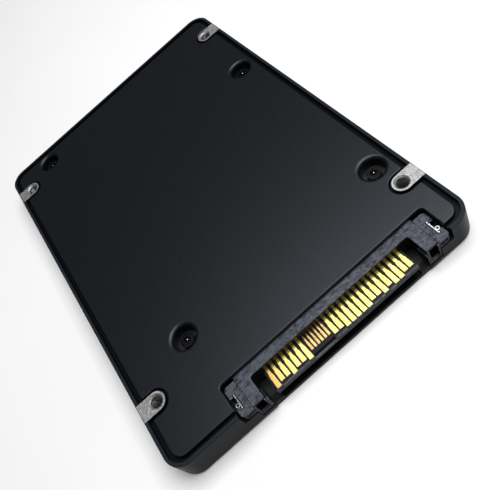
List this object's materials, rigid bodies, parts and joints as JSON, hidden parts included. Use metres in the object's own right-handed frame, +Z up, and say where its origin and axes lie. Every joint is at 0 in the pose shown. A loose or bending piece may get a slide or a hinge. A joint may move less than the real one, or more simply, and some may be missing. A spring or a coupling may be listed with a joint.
{
  "type": "solid state drive",
  "caption": "Thin rectangular 2.5-inch solid state drive in a dark metal case: cast tray, pressed cover with dished screws, and a wide gold-contact drive plug at one end.",
  "frame": {"origin": "centre of the drive's footprint, on the plane of the label face", "axes": "+Y along the length, away from the plug end; +X to the right when the mounting side is up and the plug faces the viewer; +Z up, from the label face to the mounting side"},
  "size_m": [0.0698, 0.1002, 0.007],
  "materials": {
    "tray_paint": "matte",
    "cover_paint": "matte",
    "screw_steel": "satin",
    "label_film": "satin",
    "board_laminate": "satin",
    "chip_epoxy": "matte",
    "clock_can": "satin",
    "polymer_capacitor": "matte",
    "ceramic_capacitor": "satin",
    "resistor_body": "satin",
    "controller_lid": "satin",
    "coil_powder": "matte",
    "heat_pad": "matte",
    "plug_plastic": "matte",
    "contact_gold": "polished",
    "lock_steel": "satin"
  },
  "bodies": {
    "root": {"case_tray": "tray_paint", "cover_plate": "cover_paint", "cover_screws": "screw_steel", "product_label": "label_film", "main_board": "board_laminate", "upper_flash_chips": "chip_epoxy", "lower_flash_chips": "chip_epoxy", "memory_chips": "chip_epoxy", "power_manager_chip": "chip_epoxy", "load_switch_chips": "chip_epoxy", "boot_memory_chip": "chip_epoxy", "clock_oscillator": "clock_can", "temperature_sensor": "chip_epoxy", "holdup_capacitors": "polymer_capacitor", "upper_ceramic_capacitors": "ceramic_capacitor", "lower_ceramic_capacitors": "ceramic_capacitor", "chip_resistors": "resistor_body", "controller_chip": "controller_lid", "power_inductors": "coil_powder", "upper_flash_pads": "heat_pad", "lower_flash_pads": "heat_pad", "controller_pad": "heat_pad", "connector_housing": "plug_plastic", "signal_contacts": "contact_gold", "sideband_contacts": "contact_gold", "power_contacts": "contact_gold", "underside_contacts": "contact_gold", "board_lock_left": "lock_steel", "board_lock_right": "lock_steel"}
  },
  "joints": []
}
